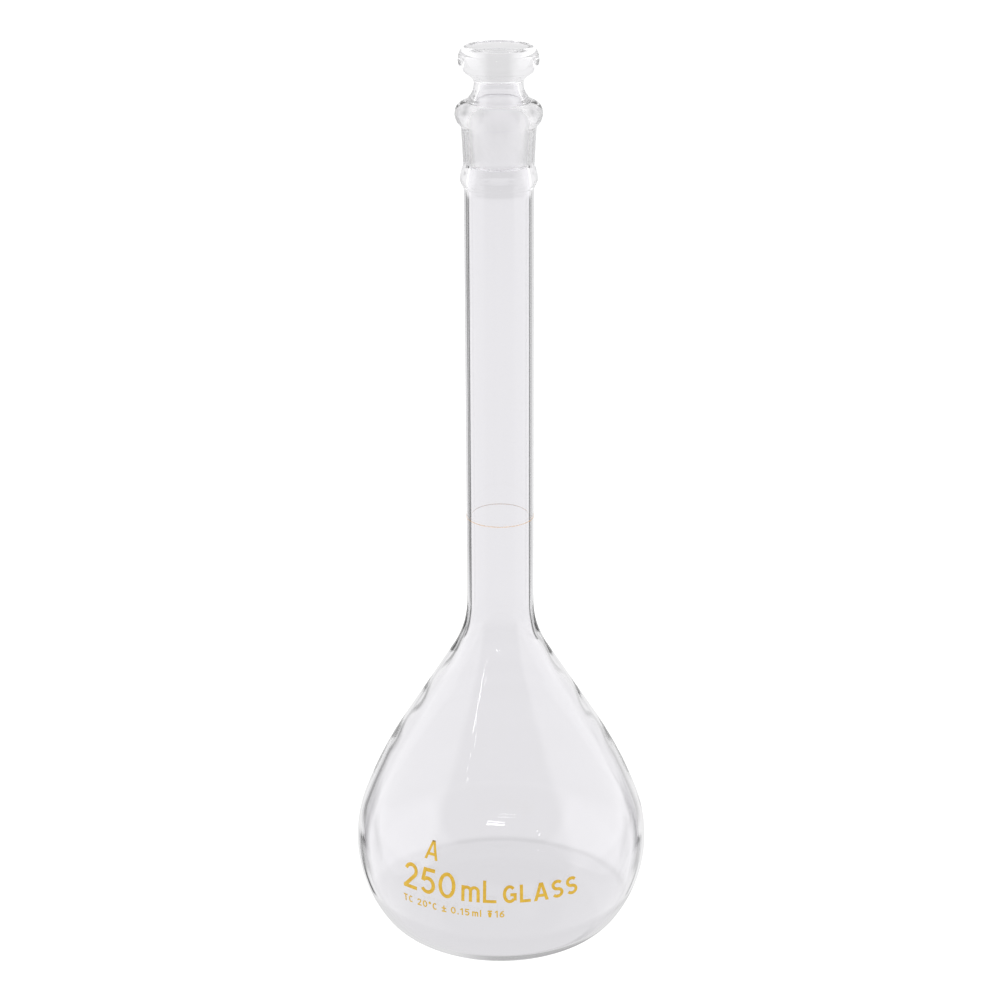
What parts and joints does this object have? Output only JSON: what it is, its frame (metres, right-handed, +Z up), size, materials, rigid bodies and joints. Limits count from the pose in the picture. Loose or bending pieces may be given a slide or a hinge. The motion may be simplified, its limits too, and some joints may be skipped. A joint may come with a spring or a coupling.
{
  "type": "volumetric flask",
  "caption": "Pear-shaped one-mark glass flask with a long narrow neck, ground taper socket and hollow ground-glass stopper.",
  "frame": {"origin": "centre of the base, on the surface the flask stands on", "axes": "+Z up along the neck, -Y towards the printed side, +X to the right as seen from the printed side"},
  "size_m": [0.08, 0.0801, 0.2442],
  "materials": {
    "clear_glass": "clear polished borosilicate glass",
    "ground_glass": "clear outside with a finely ground, frosted taper inside",
    "amber_enamel": "fired amber enamel, satin"
  },
  "bodies": {
    "flask": {"bulb": "clear_glass", "neck_tube": "clear_glass", "joint_socket": "ground_glass", "graduation_mark": "amber_enamel", "print_amount_1": "amber_enamel", "print_amount_2": "amber_enamel", "print_amount_3": "amber_enamel", "print_amount_4": "amber_enamel", "print_capacity_1": "amber_enamel", "print_capacity_2": "amber_enamel", "print_capacity_3": "amber_enamel", "print_class_1": "amber_enamel", "print_method_1": "amber_enamel", "print_method_2": "amber_enamel", "print_millilitres_1": "amber_enamel", "print_millilitres_2": "amber_enamel", "print_stopper_sign_1": "amber_enamel", "print_stopper_size_1": "amber_enamel", "print_stopper_size_2": "amber_enamel", "print_temperature_1": "amber_enamel", "print_temperature_2": "amber_enamel", "print_temperature_3": "amber_enamel", "print_temperature_4": "amber_enamel", "print_tolerance_1": "amber_enamel", "print_unit_1": "amber_enamel", "print_unit_2": "amber_enamel", "print_word_1": "amber_enamel", "print_word_2": "amber_enamel", "print_word_3": "amber_enamel", "print_word_4": "amber_enamel", "print_word_5": "amber_enamel"},
    "stopper": {"stopper": "clear_glass"}
  },
  "joints": [
    {"name": "stopper_lift", "type": "slide", "parent": "flask", "child": "stopper", "axis": [0, 0, 1], "range_m": [0, 0.04]}
  ]
}
